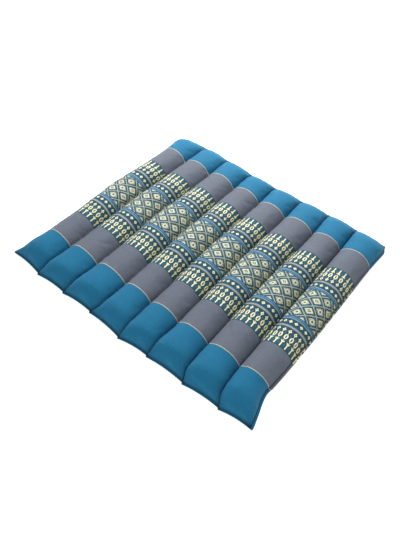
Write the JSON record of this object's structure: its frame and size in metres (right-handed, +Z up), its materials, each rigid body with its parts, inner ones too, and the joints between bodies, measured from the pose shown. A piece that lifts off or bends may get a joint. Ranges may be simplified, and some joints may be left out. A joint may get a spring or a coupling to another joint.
{
  "type": "flat meditation cushion",
  "caption": "Flat square floor cushion of filled channels sewn side by side in one woven cotton cover with patterned bands",
  "frame": {"origin": "under the middle of the cushion, on the surface it lies on", "axes": "+X across the channels to the right, +Y along the channels to the far end, +Z up"},
  "size_m": [0.7918, 0.744, 0.0472],
  "materials": {
    "cover_cloth": "matt woven cotton with teal, grey and patterned cream bands"
  },
  "bodies": {
    "root": {"cushion": "cover_cloth"}
  },
  "joints": []
}
